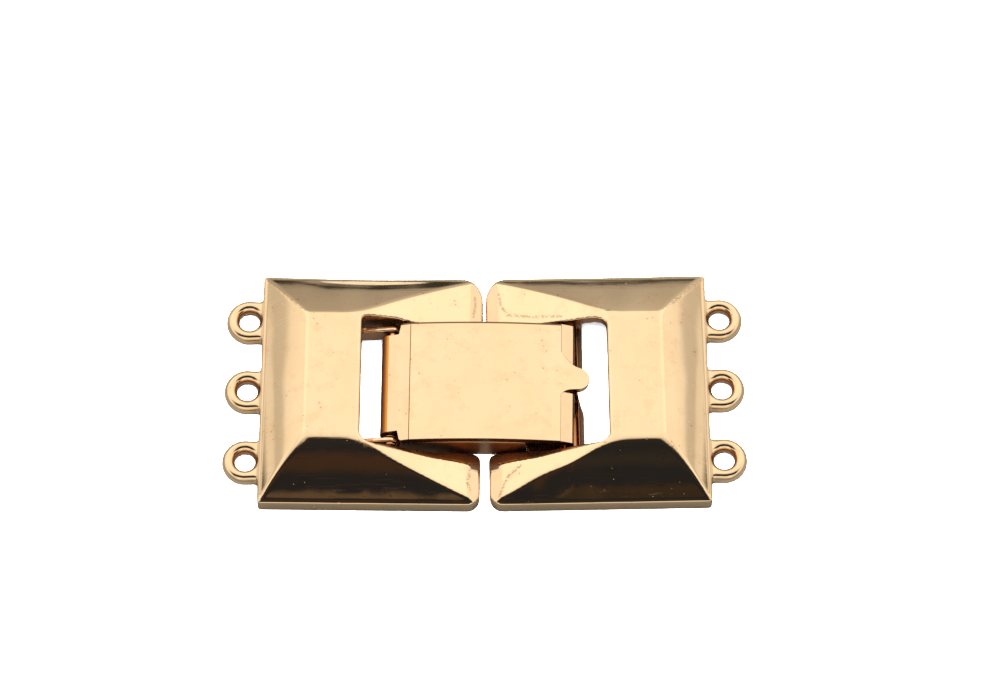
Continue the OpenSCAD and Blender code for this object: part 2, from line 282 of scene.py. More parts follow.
def ramp(tree, place, source, stops):
    """A colour ramp over a value, with stops as (position, grey or colour)."""
    made = add_node(tree, "ShaderNodeValToRGB", place, {"Fac": source})
    elements = made.color_ramp.elements
    while len(elements) < len(stops):
        elements.new(1.0)
    for element, (position, tone) in zip(elements, stops):
        element.position = position
        element.color = (tone, tone, tone, 1.0) if isinstance(tone, float) else (*tone, 1.0)
    return made.outputs["Color"]


def mixed_colour(tree, place, share, colour_a, colour_b):
    """Mixes two colours, each a value or an output, by a share."""
    inputs = {0: share}
    for socket, colour in ((6, colour_a), (7, colour_b)):
        inputs[socket] = colour if isinstance(colour, bpy.types.NodeSocket) else (*colour, 1.0)
    return add_node(tree, "ShaderNodeMix", place, inputs, data_type="RGBA").outputs[2]


def new_material(name):
    """A material with its tree, its shader and the place on the object."""
    material = bpy.data.materials.new(name)
    material.use_nodes = True
    tree = material.node_tree
    place = add_node(tree, "ShaderNodeTexCoord", (-1900, 0)).outputs["Object"]
    return material, tree, tree.nodes["Principled BSDF"], place


def polished_gold(name, finish):
    """Gold plate polished by hand: stains, small pits, hairlines, painted brown shade where no polish reached, a
    painted amber glow and painted dark lines of shade.
    """
    tint, dullness, pit_depth, peel_depth = GOLDS[name]
    roughness = finish.roughness * dullness
    material, tree, shader, place = new_material(name)
    shader.inputs["Metallic"].default_value = 1.0

    def cloud(at, scale, detail, source=place):
        inputs = {"Vector": source, "Scale": scale, "Detail": detail, "Roughness": 0.6}
        return add_node(tree, "ShaderNodeTexNoise", at, inputs).outputs["Fac"]

    def dots(at, scale, core, edge, spread):
        x, y = at
        inputs = {"Vector": place, "Scale": scale, "Randomness": 1.0}
        cells = add_node(tree, "ShaderNodeTexVoronoi", at, inputs)
        small = ramp(tree, (x + 250, y), cells.outputs["Distance"], [(core, 1.0), (edge, 0.0)])
        return worked_out(tree, (x + 550, y), small, "MULTIPLY", spread)

    def painted(at, attribute):
        return add_node(tree, "ShaderNodeAttribute", at, attribute_name=attribute).outputs["Fac"]

    slow = cloud((-1600, 500), 260.0, 4.0)
    patchy = cloud((-1600, 250), 750.0, 4.0)
    grain = cloud((-1600, 700), 5200.0, 2.0)
    worn = ramp(tree, (-1300, 500), slow, [(0.42, 0.0), (0.75, 1.0)])
    stained = ramp(tree, (-1300, 250), patchy, [(0.53, 0.0), (0.7, 0.85)])
    rare = ramp(tree, (-1300, 0), patchy, [(0.53, 0.0), (0.61, 1.0)])
    pits = dots((-1600, -250), 2600.0, 0.03, 0.17, rare)
    specks = dots((-1600, -500), 1900.0, 0.07, 0.17, rare)
    # Painted marks read from the mesh: shade where no polish reached, amber glow, dark lines of shade, and flaws
    # with one painted dark reflection
    unpolished_and_shade = painted((-1300, 900), "unpolished_and_shade")
    amber_glow = painted((-1300, 1100), "amber_glow")
    outline = painted((-1300, 1300), "outline")
    rough_spot = ramp(tree, (-1050, 900), grain, [(0.46, 0.0), (0.56, 1.0)])
    flaws_and_shade = worked_out(tree, (-750, 900), painted((-1300, 700), "flaw_and_shade"), "MULTIPLY", rough_spot)
    faint_flaws_and_shade = worked_out(tree, (-500, 900), flaws_and_shade, "MULTIPLY", 0.55)
    colour = getattr(finish, tint)
    for x, share, over in ((-900, worn, finish.worn), (-700, stained, finish.stain),
                           (-500, specks, finish.speck), (-400, unpolished_and_shade, finish.painted_shade),
                           (-300, amber_glow, finish.amber_glow), (-200, outline, finish.outline),
                           (-150, faint_flaws_and_shade, finish.speck)):
        colour = mixed_colour(tree, (x, 500), share, colour, over)
    tree.links.new(colour, shader.inputs["Base Color"])

    rough = mapped(tree, (-900, 100), slow, 0.3, 0.8, roughness * 0.8, roughness * 1.6)
    for x, mark, share in ((-750, pits, 0.3), (-600, unpolished_and_shade, 0.2), (-450, flaws_and_shade, 0.3),
                           (-300, amber_glow, 0.25), (-150, outline, 0.2)):
        rough = worked_out(tree, (x, 100), mark, "MULTIPLY_ADD", share, rough)
    tree.links.new(rough, shader.inputs["Roughness"])

    hair_place = add_node(tree, "ShaderNodeMapping", (-1650, -900), {
        "Vector": place, "Rotation": (0.0, 0.0, 0.6), "Scale": (1.0, 24.0, 1.0)})
    hair = cloud((-1350, -900), 300.0, 1.0, hair_place.outputs[0])
    hairline = ramp(tree, (-1050, -900), hair, [(0.64, 0.0), (0.68, 1.0)])
    uneven = cloud((-1350, -700), 1400.0, 2.0)
    relief = {"Strength": 1.0}
    for x, height, depth, inward in ((-700, uneven, peel_depth, False), (-500, hairline, 0.0008 * MM, True),
                                     (-300, flaws_and_shade, 0.02 * MM, True), (-100, pits, pit_depth, True)):
        relief.update({"Distance": depth, "Height": height})
        bump = add_node(tree, "ShaderNodeBump", (x, -600), relief, invert=inward)
        relief["Normal"] = bump.outputs[0]
    tree.links.new(relief["Normal"], shader.inputs["Normal"])
    return material


# Making meshes

def object_from(mesh, name):
    """A new object in the scene."""
    made = bpy.data.objects.new(name, mesh)
    bpy.context.scene.collection.objects.link(made)
    return made


def mesh_from(bm, name, *materials):
    """A mesh of what was made in a bmesh, which is then freed."""
    mesh = bpy.data.meshes.new(name)
    bm.to_mesh(mesh)
    bm.free()
    for material in materials:
        mesh.materials.append(material)
    return mesh


def settled(made, name):
    """The object's mesh with its modifiers worked in, and the object gone."""
    graph = bpy.context.evaluated_depsgraph_get()
    graph.update()
    mesh = bpy.data.meshes.new_from_object(made.evaluated_get(graph))
    mesh.name = name
    bpy.data.objects.remove(made)
    return mesh


def finish_piece(mesh, name, material, body, node, place, sharp=None):
    """Puts a finished mesh in the scene as one piece of the clasp, instead of a node.

    The place is its local frame, and edges that turn by more degrees than sharp look sharp.
    """
    mesh.transform(place)
    if place.determinant() < 0.0:
        mesh.flip_normals()
    mesh.shade_smooth()
    if sharp:
        mesh.set_sharp_from_angle(angle=math.radians(sharp))
    mesh.materials.clear()
    mesh.materials.append(material)
    piece = object_from(mesh, name)
    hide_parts(node)
    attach(piece, body)


def paint(mesh, name, values, domain="POINT"):
    """Keeps a value for each point or face, for a material to read."""
    mesh.attributes.new(name, "FLOAT", domain).data.foreach_set("value", values)


def merged_copy(node, to_local):
    """A bmesh of a CAD node with its loose triangles joined, in a local frame."""
    bm = bmesh.new()
    bm.from_mesh(frame["nodes"][node].data)
    bmesh.ops.remove_doubles(bm, verts=bm.verts, dist=MERGE)
    bm.transform(to_local)
    if to_local.determinant() < 0.0:
        bmesh.ops.reverse_faces(bm, faces=bm.faces)
    return bm


def cut(bm, co, normal, clear=False):
    """Cuts the faces along a plane, and may clear what lies past it."""
    bmesh.ops.bisect_plane(bm, geom=bm.verts[:] + bm.edges[:] + bm.faces[:], dist=MERGE, plane_co=co,
                           plane_no=normal, clear_outer=clear)


def one_skin(mesh, cell, name):
    """One closed skin round everything in the mesh."""
    scale = 1.0 / MM
    mesh.transform(Matrix.Scale(scale, 4))
    holder = object_from(mesh, name)
    set_up(holder.modifiers.new("skin", "REMESH"), mode="VOXEL", voxel_size=cell * scale)
    made = settled(holder, name)
    made.transform(Matrix.Scale(MM, 4))
    return made


def softened(mesh, rounds, name, more_rounds=0, chosen=None):
    """The mesh with its edges softened as by tumbling and polishing, the chosen points more than the rest."""
    holder = object_from(mesh, name)
    set_up(holder.modifiers.new("soften", "SMOOTH"), factor=0.5, iterations=rounds)
    if more_rounds:
        group = holder.vertex_groups.new(name="chosen")
        group.add([vert.index for vert in mesh.vertices if chosen(vert.co)], 1.0, "REPLACE")
        set_up(holder.modifiers.new("soften_more", "SMOOTH"), factor=0.5, iterations=more_rounds,
               vertex_group="chosen")
    return settled(holder, name)


# The strand eyes

def strand_eyes_tree():
    """Geometry Nodes for cast eyes in a row, each a ring and a round-ended loop of oval section."""
    tree = bpy.data.node_groups.new("strand_eyes", "GeometryNodeTree")
    count = tree.interface.new_socket("Count", in_out="INPUT", socket_type="NodeSocketInt")
    count.default_value = 3
    for name, default in (
        ("Pitch", STRAND_PITCH),
        ("Middle", HALF_LEN + EYE_REACH),
        ("Root", EYE_REACH + EYE_ROOT),
        ("Outer Radius", 1.6 * MM),
        ("Hole Radius", 1.0 * MM),
        ("Height", EYE_HEIGHT),
    ):
        size = tree.interface.new_socket(name, in_out="INPUT", socket_type="NodeSocketFloat")
        size.default_value = default
    tree.interface.new_socket("Material", in_out="INPUT", socket_type="NodeSocketMaterial")
    tree.interface.new_socket("Eyes", in_out="OUTPUT", socket_type="NodeSocketGeometry")
    given = add_node(tree, "NodeGroupInput", (-1600, 0)).outputs

    def node(kind, at, inputs=(), **settings):
        return add_node(tree, f"GeometryNode{kind}", at, inputs, **settings).outputs[0]

    def number(at, *terms):
        return worked_out(tree, at, *terms)

    def vector(at, inputs):
        return add_node(tree, "ShaderNodeCombineXYZ", at, inputs).outputs[0]

    total = number((-1450, 500), given["Outer Radius"], "ADD", given["Hole Radius"])
    bend_r = number((-1300, 500), total, "MULTIPLY", 0.5)
    width_left = number((-1450, 650), given["Outer Radius"], "SUBTRACT", given["Hole Radius"])
    thick_r = number((-1300, 650), width_left, "MULTIPLY", 0.5)
    half_height = number((-1100, -200), given["Height"], "MULTIPLY", 0.5)

    length = number((-1150, 500), given["Root"], "ADD", bend_r)
    loop = node("CurvePrimitiveQuadrilateral", (-1000, 350), {"Width": length, "Height": total})
    split = add_node(tree, "ShaderNodeSeparateXYZ", (-1250, 80), {0: node("InputPosition", (-1400, 80))})
    is_outer = number((-1100, 80), split.outputs["X"], "GREATER_THAN", 0.0)
    bend = number((-950, 80), is_outer, "MULTIPLY", bend_r)
    rounded = node("FilletCurve", (-850, 350), {"Curve": loop, "Count": 24, "Radius": bend}, mode="POLY")
    in_wall = number((-1250, -80), given["Root"], "SUBTRACT", bend_r)
    back = number((-1100, -80), in_wall, "MULTIPLY", -0.5)
    shift = vector((-950, -80), {"X": back, "Z": half_height})
    placed = node("Transform", (-650, 350), {"Geometry": rounded, "Translation": shift})
    ring = node("CurvePrimitiveCircle", (-850, 550), {"Resolution": 48, "Radius": bend_r})
    lift = vector((-850, 700), {"Z": half_height})
    lifted = node("Transform", (-650, 600), {"Geometry": ring, "Translation": lift})
    paths = add_node(tree, "GeometryNodeJoinGeometry", (-480, 450))
    for path in (placed, lifted):
        tree.links.new(path, paths.inputs[0])
    section = node("CurvePrimitiveCircle", (-850, 150), {"Resolution": 24, "Radius": thick_r})
    taller = number((-850, -50), half_height, "DIVIDE", thick_r)
    oval = vector((-700, -50), {"X": 1.0, "Y": taller, "Z": 1.0})
    stretched = node("Transform", (-550, 150), {"Geometry": section, "Scale": oval})
    eye = node("CurveToMesh", (-350, 250), {"Curve": paths.outputs[0], "Profile Curve": stretched})

    steps = number((-1400, -400), given["Count"], "ADD", -1.0)
    span = number((-1250, -400), steps, "MULTIPLY", given["Pitch"])
    first = number((-1100, -400), span, "MULTIPLY", -0.5)
    start = vector((-900, -350), {"X": given["Middle"], "Y": first})
    step = vector((-900, -500), {"Y": given["Pitch"]})
    row = node("MeshLine", (-650, -400), {
        "Count": given["Count"], "Start Location": start, "Offset": step}, mode="OFFSET")
    copies = node("InstanceOnPoints", (400, 0), {"Points": row, "Instance": eye})
    real = node("RealizeInstances", (600, 0), {0: copies})
    painted = node("SetMaterial", (800, 0), {"Geometry": real, "Material": given["Material"]})
    add_node(tree, "NodeGroupOutput", (1000, 0), {0: painted})
    return tree


def socket_id(tree, name):
    """The identifier of a tree's input."""
    inputs = (item for item in tree.interface.items_tree if item.in_out == "INPUT")
    return next(item.identifier for item in inputs if item.name == name)


def strand_eyes(sizes, material):
    """The three eyes of a half, in the half's own frame, as one mesh."""
    tree = bpy.data.node_groups.get("strand_eyes") or strand_eyes_tree()
    holder = object_from(bpy.data.meshes.new("eyes"), "eyes")
    rows = set_up(holder.modifiers.new("eyes", "NODES"), node_group=tree)
    rows[socket_id(tree, "Outer Radius")] = sizes.eye_outer
    rows[socket_id(tree, "Hole Radius")] = sizes.eye_hole
    rows[socket_id(tree, "Material")] = material
    return settled(holder, "eyes")


# The castings

def share_along(value, start, end):
    """How far a value is on its way from a start to an end, from 0 to 1."""
    return min(max((value - start) / (end - start), 0.0), 1.0)


def box(bm, low, high):
    """A closed box between two corners."""
    low, high = Vector(low), Vector(high)
    size = Matrix.Diagonal((*(high - low), 1.0))
    bmesh.ops.create_cube(bm, size=1.0, matrix=Matrix.Translation((low + high) / 2) @ size)


def filler(bm, plan, depth):
    """A closed piece under the slope from the seam, over a plan in millimetres."""
    tops = [(x * MM, y * MM, WALL_Z + (TOP_Z - WALL_Z) * min(x * MM / BAR_X0, 1.0)) for x, y in plan]
    floor, roof = ([bm.verts.new((x, y, z - drop)) for x, y, z in tops] for drop in (depth, 0.0))
    bm.faces.new(reversed(floor))
    bm.faces.new(roof)
    for i in range(len(plan)):
        j = (i + 1) % len(plan)
        bm.faces.new((floor[i], floor[j], roof[j], roof[i]))


def near_corner(radius):
    """Plan of the metal that rounds the window's corner between the bar and the near arm."""
    x0, y0, root = BAR_X0 / MM, -WINDOW_Y / MM, NEAR_CORNER_ROOT
    turns = (math.radians(-90.0 + 90.0 * i / 8) for i in range(9))
    arc = [(x0 - radius + radius * math.cos(a), y0 + radius + radius * math.sin(a)) for a in turns]
    return [(x0 - radius, y0 - root), (x0 + root, y0 - root), (x0 + root, y0 + radius)] + arc[::-1]


def arm_shift(x, y):
    """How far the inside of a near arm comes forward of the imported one, close to the seam."""
    if y > 0.0 or x > ARM_SHIFT_X[1]:
        return 0.0
    near = share_along(x, ARM_SHIFT_X[1], ARM_SHIFT_X[0])
    return ARM_SHIFT * near * near * (3.0 - 2.0 * near) * share_along(y, ARM_SHIFT_Y[1], ARM_SHIFT_Y[0])


def blended(a, b, width):
    """The lower of two heights, with the crease between them rounded over a width."""
    near = max(width - abs(a - b), 0.0) / width
    return min(a, b) - near * near * width / 4


def slope_down(past, run, belly):
    """Height of a slope that leaves the flat top and bulges a little on its way to the wall."""
    t = past / run
    return TOP_Z - (TOP_Z - WALL_Z) * ((1.0 - belly) * t + belly * t * t)


def roof_heights(x, y, side, sizes):
    """Height of the roof as packed, with flat slopes and sharp ridges, and as cast and polished."""
    is_near = y < 0.0
    seam = WALL_Z + (TOP_Z - WALL_Z) * x / BAR_X0
    end_past, end_run = x - BAR_X1, HALF_LEN - LEDGE - BAR_X1
    side_past, side_run = abs(y) - BAR_Y, HALF_W / 2 - LEDGE - BAR_Y
    plain = min(TOP_Z, seam, slope_down(end_past, end_run, 0.0), slope_down(side_past, side_run, 0.0))
    bend = math.sin(math.pi * share_along(x, 0.0, BEND_X)) ** 2
    early = NEAR_FLANK[side] + NEAR_BEND[side] * bend if is_near else 0.0
    end = slope_down(max(end_past, -end_run), end_run, sizes.belly * (1.0 - BELLY_SKEW * y / HALF_W))
    flank = slope_down(max(side_past + early, -side_run), side_run + early, sizes.belly)
    if y > 0.0:
        middle = math.sin(math.pi * share_along(x, 0.0, HALF_LEN)) ** 2
        flank -= FLANK_SAG[side] * middle * share_along(side_past, 0.0, side_run) ** 4
    high = share_along(plain, WALL_Z, TOP_Z)
    hip = sizes.ridge + (sizes.hip - sizes.ridge) * high ** 4 if is_near else sizes.ridge
    slopes = blended(end, flank, hip)
    cast = blended(blended(TOP_Z, seam, SEAM_FADE), slopes, sizes.ridge * (NEAR_RIDGE if is_near else 1.0))
    return max(plain, LOW_ROOF), max(cast, LOW_ROOF)


def on_eye(co):
    """Whether a point is on an eye."""
    return co.x > HALF_LEN + EYE_START


def is_hidden(co, up, sizes):
    """Whether a point of a half is out of reach of polishing, and so rougher and painted with shade: under the
    roof, in the window or in an eye.
    """
    x, y, z = co
    if x > HALF_LEN + EYE_RIM:
        strand = min((-STRAND_PITCH, 0.0, STRAND_PITCH), key=lambda centre: abs(y - centre))
        from_middle = math.hypot(x - HALF_LEN - EYE_REACH, y - strand)
        return from_middle < sizes.eye_hole + EYE_RIM and z < EYE_BROWN_Z
    if x < SEAM_RIM or x > HALF_LEN - WALL_RIM or abs(y) > HALF_W / 2 - WALL_RIM:
        return False
    below = roof_heights(x, y, "right", sizes)[0] - z
    if x < BAR_X0 + WINDOW_RIM[0] and abs(y) < WINDOW_Y + WINDOW_RIM[1]:
        return below > WINDOW_DEPTH and (up < WINDOW_UP or z < WINDOW_LOW_Z or x > BAR_X0 - BAR_SHADE)
    on_near_arm = NEAR_ARM[1] < y < 0.0 and x < NEAR_ARM[0]
    return below > (NEAR_ARM_DEPTH if on_near_arm else ROOF_DEPTH)


def to_line(x, y, stations):
    """Distance from a point to a line of points in millimetres."""
    spot = Vector((x, y))
    nearest = HALF_LEN
    for a, b in zip(stations, stations[1:]):
        start, end = Vector(a) * MM, Vector(b) * MM
        t = (spot - start).dot(end - start) / (end - start).length_squared
        nearest = min(nearest, (spot - start.lerp(end, min(max(t, 0.0), 1.0))).length)
    return nearest


def flaw_and_shade_share(co, up, side):
    """How close a point that faces up is to a line of casting flaws, or to the painted dark reflection along a
    hip.
    """
    if up <= 0.6:
        return 0.0
    return max(0.0, 1.0 - min(to_line(co.x, co.y, line) for line in FLAW_AND_SHADE_LINES[side]) / FLAW_HALF_W)


def brown_shade_share(co, is_bevel):
    """How much painted shade a point takes on a near arm's bevel, in the line round the foot or on the rim above
    the eyes.
    """
    if is_bevel:
        return 0.45 + 0.45 * max(0.0, 1.0 - co.x / BEVEL_FADE)
    on_rim = abs(co.x - HALF_LEN) < EYE_RIM and co.z > RIM_LINE_Z
    return max(0.4 if on_rim else 0.0, 0.7 * max(0.0, 1.0 - co.z / FOOT_LINE))


def paint_casting(made, side, sizes):
    """Marks where a half is unpolished with painted shade, flawed or darkened by a painted reflection, painted
    with dark lines of shade, or painted with an amber glow.
    """
    spots = [(vert.co.copy(), vert.normal.z) for vert in made.vertices]
    marks = {"unpolished_and_shade": [], "flaw_and_shade": [], "outline": [], "amber_glow": []}
    for co, up in spots:
        hidden = is_hidden(co, up, sizes)
        near = co.x < BEVEL_X and BEVEL_Y[0] < co.y < BEVEL_Y[1]
        below = roof_heights(co.x, co.y, side, sizes)[1] - co.z if near else 0.0
        marks["unpolished_and_shade"].append(float(hidden))
        marks["flaw_and_shade"].append(flaw_and_shade_share(co, up, side))
        marks["outline"].append(brown_shade_share(co, hidden and near))
        marks["amber_glow"].append(float(near and co.x > AMBER_X and AMBER_BELOW[0] < below < AMBER_BELOW[1]))
    for name, values in marks.items():
        paint(made, name, values)


def lower_lugs(bm):
    """Lets the top of each lug fall towards the bar, and moves the far lug out."""
    for vert in bm.verts:
        x, y, z = vert.co
        across = LUG_INNER - LUG_ROOM < abs(y) < LUG_OUTER + LUG_ROOM
        if not (across and z < LUG_ROOT_Z and BAR_X0 - LUG_REACH < x < BAR_X0 + LUG_ROOM):
            continue
        if x > BAR_X0 - LUG_ROOM and abs(z - LUG_TOP_Z) < LUG_ROOM:
            vert.co.z -= LUG_FALL
        if y > 0.0:
            vert.co.y += FAR_LUG_SHIFT


def casting(side, sizes, material):
    """A half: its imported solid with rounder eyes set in, under one soft skin with a bellied roof."""
    name = f"{side}_casting"
    bm = merged_copy(f"{side}_half", half_frame(side).inverted())
    cut(bm, (HALF_LEN + 0.01 * MM, 0.0, 0.0), (1.0, 0.0, 0.0), clear=True)
    bmesh.ops.holes_fill(bm, edges=[edge for edge in bm.edges if edge.is_boundary], sides=0)
    if side == "left":
        lower_lugs(bm)
        box(bm, *DEEP_WALL)
    filler(bm, ARM_EDGE[side], ARM_EDGE_T)
    filler(bm, near_corner(NEAR_CORNER_R[side]), NEAR_CORNER_T)
    bm.from_mesh(strand_eyes(sizes, material))
    made = one_skin(mesh_from(bm, name), sizes.cell, name)
    for vert in made.vertices:
        x, y, z = vert.co
        if x < HALF_LEN and z > 0.0:
            plain, cast = roof_heights(x, y, side, sizes)
            vert.co.z = z * cast / plain + WAVE * noise.noise(vert.co / WAVE_LEN) * min(z / WALL_Z, 1.0)
            vert.co.y += arm_shift(x, y)
    made = softened(made, sizes.rounds, name, sizes.eye_rounds, on_eye)
    paint_casting(made, side, sizes)
    return made


# The lid

def arc_points(centre, radius, start, end, count):
    """Points of an arc between two angles in degrees."""
    turns = (math.radians(start + (end - start) * i / count) for i in range(count + 1))
    return [Vector((centre[0] + radius * math.cos(a), centre[1] + radius * math.sin(a))) for a in turns]


def smooth_curve(stations, count=8):
    """A quadratic curve from the first point to the last, pulled towards the middle one."""
    a, b, c = (Vector(point) for point in stations)
    return [tuple(a.lerp(b, t).lerp(b.lerp(c, t), t)) for t in (i / count for i in range(count + 1))]


def run_of(points):
    """Length of a line of points."""
    return sum((b - a).length for a, b in zip(points, points[1:]))


def along_profile(points, distance):
    """The point at a distance along a line of points."""
    for a, b in zip(points, points[1:]):
        step = (b - a).length
        if distance <= step:
            return a.lerp(b, distance / step)
        distance -= step
    return points[-1] + (points[-1] - points[-2]).normalized() * distance


def folded_sheet(outline, points, name, sizes, material):
    """A closed sheet: an outline in (distance along the profile, Y), folded over the profile and thickened.

    It is cut at each bend, and the rounding of its edges is in the second of its two slots.
    """
    bm = bmesh.new()
    bm.faces.new([bm.verts.new((s, y, 0.0)) for s, y in outline])
    run = 0.0
    for a, b in zip(points, points[1:]):
        run += (b - a).length
        cut(bm, (run, 0.0, 0.0), (1.0, 0.0, 0.0))
    for vert in bm.verts:
        x, z = along_profile(points, vert.co.x)
        vert.co = (x, vert.co.y, z)
    bmesh.ops.recalc_face_normals(bm, faces=bm.faces)
    if sum(face.normal.z * face.calc_area() for face in bm.faces) < 0.0:
        bmesh.ops.reverse_faces(bm, faces=bm.faces)
    holder = object_from(mesh_from(bm, name, material, material), name)
    set_up(holder.modifiers.new("sheet", "SOLIDIFY"), thickness=sizes.sheet, offset=-1.0,
           use_even_offset=True)
    set_up(holder.modifiers.new("edge", "BEVEL"), width=sizes.edge, segments=3, limit_method="ANGLE",
           angle_limit=math.radians(50.0), material=1)
    return settled(holder, name)


def arch_height(x):
    """Height of the lid's arch above the pin."""
    return max(ARCH_Z - ARCH_R + math.sqrt(ARCH_R ** 2 - (x - ARCH_MID) ** 2), FOLD_Z)


def tab_outline(end, tip):
    """The free edge between the lips: a short turn to the tab on the near side, a long flare on the far."""
    flares = ([(end + s * MM, y * MM) for s, y in stations] for stations in (NEAR_FLARE, FAR_FLARE))
    near, far = (smooth_curve(stations) for stations in flares)
    round_tip = [tuple(point) for point in arc_points((tip - TAB_R, TAB_Y), TAB_R, *TAB_TURN, 18)]
    return near + round_tip + far


def lid_plate(sizes, material):
    """The lid from its rolled knuckle to the tip of its thumb tab."""
    to_fold = math.hypot(FOLD_X, FOLD_Z)
    roll_end = math.degrees(math.atan2(FOLD_Z, FOLD_X) + math.acos(KNUCKLE_R / to_fold))
    roll = arc_points((0.0, 0.0), KNUCKLE_R, ROLL_START, roll_end, 40)
    half_turn = math.degrees(math.asin(HALF_CHORD / ARCH_R))
    arch = arc_points((ARCH_MID, ARCH_Z - ARCH_R), ARCH_R, 90.0 + half_turn, 90.0 - half_turn, 48)
    before = arch[0] - (arch[0] - roll[-1]).normalized() * GROOVE
    after = arch[0] + (arch[1] - arch[0]).normalized() * GROOVE
    straight = arch[-1] + (arch[-1] - arch[-2]).normalized() * (sizes.tab * 1.1)
    shoulder = run_of(roll) + SHOULDER
    end = run_of(roll + arch)
    side = [(0.0, KNUCKLE_HALF_W), (shoulder, KNUCKLE_HALF_W),
            (shoulder + SHOULDER_STEPS[0], LID_HALF_W - CORNER), (shoulder + SHOULDER_STEPS[1], LID_HALF_W),
            (end, LID_HALF_W)]
    outline = [(s, -y) for s, y in side] + tab_outline(end, end + sizes.tab) + side[::-1]
    profile = roll + [before, arch[0], after] + arch[1:] + [straight]
    made = folded_sheet(outline, profile, "lid_plate", sizes, material)
    for vert in made.vertices:
        x, y, z = vert.co
        if abs(x - FOLD_X) < GROOVE / 2 and z > FOLD_Z - 0.1 * MM:
            vert.co.z -= GROOVE_DEPTH
        away = math.hypot(x, z)
        if away < KNUCKLE_BORE:
            vert.co.x *= KNUCKLE_BORE / away
            vert.co.z *= KNUCKLE_BORE / away
    return made


def lid_lip(place, sizes, material):
    """A lip: a facet that slopes from the bend line, then a straight hook whose foot starts further out."""
    inner = LIP_INNER[place]
    outer, foot = (math.copysign(y, inner) for y in (LID_HALF_W, HOOK_INNER))
    facet = (LIP_END - LIP_X - LIP_KNEE) / math.cos(LIP_SLOPE)
    start = Vector((LIP_X, FOLD_Z))
    knee = start + facet * Vector((math.cos(LIP_SLOPE), -math.sin(LIP_SLOPE)))
    centre = knee - LIP_TURN_R * Vector((math.sin(LIP_SLOPE), math.cos(LIP_SLOPE)))
    turn = arc_points(centre, LIP_TURN_R, 90.0 - math.degrees(LIP_SLOPE), 0.0, 8)
    end = Vector((turn[-1].x, -LIP_DROP))
    points = [start] + turn + [end]
    length = run_of(points)
    bent = length - (turn[-1] - end).length
    outline = [(0.0, inner), (bent, inner), (bent + HOOK_TAPER, foot), (length, foot), (length, outer),
               (0.0, outer)]
    return folded_sheet(outline, points, f"{place}_lip", sizes, material)


def outline_share(face):
    """How much painted shade a face of the lid takes as part of a cut edge, or of the fine dark lines along its
    bends.
    """
    x, y, z = face.center
    crease = Vector((FOLD_X, FOLD_Z - GROOVE_DEPTH / 2))
    if face.normal.z > 0.0 and (Vector((x, z)) - crease).length < GROOVE * 1.5:
        return 0.5
    from_bend = abs(x - LIP_X)
    if from_bend < LIP_JOINT and abs(y) > LIP_JOINT_Y:
        return 0.6 if from_bend < FINE_LINE and face.normal.z > 0.0 else 0.0
    on_strip = face.normal.z > 0.5 and y > FAR_STRIP and x < LIP_X
    return float(face.material_index == 1 or on_strip or (abs(face.normal.y) > 0.9 and x < LIP_X))


def amber_glow_share(face):
    """Whether a face is on the upper outside of the rolled knuckle, where an amber glow is painted."""
    return float(AMBER_SPAN[0] < face.center.x < AMBER_SPAN[1] and face.center.z > AMBER_Z)


def unpolished_and_shade_share(face):
    """How rough a face is lower down on the outside of the knuckle, or on the underside of the sheet; these faces
    also take the painted shade.
    """
    if face.center.x < ROUGH_X:
        return 2.0
    return float(face.normal.z < -0.2 and face.center.z > 0.0)


def lid_sheet(sizes, material):
    """The plate and both lips in one mesh, with the faces of painted dark lines, painted amber glow and rough
    painted shade marked.
    """
    bm = bmesh.new()
    bm.from_mesh(lid_plate(sizes, material))
    for place in LIP_INNER:
        bm.from_mesh(lid_lip(place, sizes, material))
    cut(bm, (0.0, FAR_STRIP, 0.0), (0.0, 1.0, 0.0))
    mesh = mesh_from(bm, "lid_sheet")
    marks = {"outline": outline_share, "amber_glow": amber_glow_share, "unpolished_and_shade": unpolished_and_shade_share}
    for name, share in marks.items():
        paint(mesh, name, [share(face) for face in mesh.polygons], "FACE")
    mesh.polygons.foreach_set("material_index", [0] * len(mesh.polygons))
    return mesh


# The tongue and the pin

def tongue_channel():
    """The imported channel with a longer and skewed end, thinner ears, soft edges and an arched top."""
    bm = merged_copy("tongue", pin_frame().inverted())
    reach = max(vert.co.x for vert in bm.verts)
    for vert in bm.verts:
        x, y = vert.co.xy
        if x > reach - 0.1 * MM:
            vert.co.x += TONGUE_LONGER + (TONGUE_HALF_W - y) * TONGUE_SKEW
        if abs(abs(y) - EAR_INNER) < 0.01 * MM:
            vert.co.y += math.copysign(EAR_THINNING, y)
    skin = one_skin(mesh_from(bm, "tongue_channel"), TONGUE_CELL, "tongue_channel")
    made = softened(skin, 2, "tongue_channel")
    heights = [vert.co.z for vert in made.vertices]
    low, top = min(heights), max(heights)
    # Below its top the tongue is rougher and takes the painted shade
    paint(made, "unpolished_and_shade", [min(1.0, (top - z) / (0.1 * MM)) for z in heights])
    for vert in made.vertices:
        vert.co.z += TONGUE_ARCH * (arch_height(vert.co.x) - FOLD_Z) * (vert.co.z - low) / (top - low)
    return made


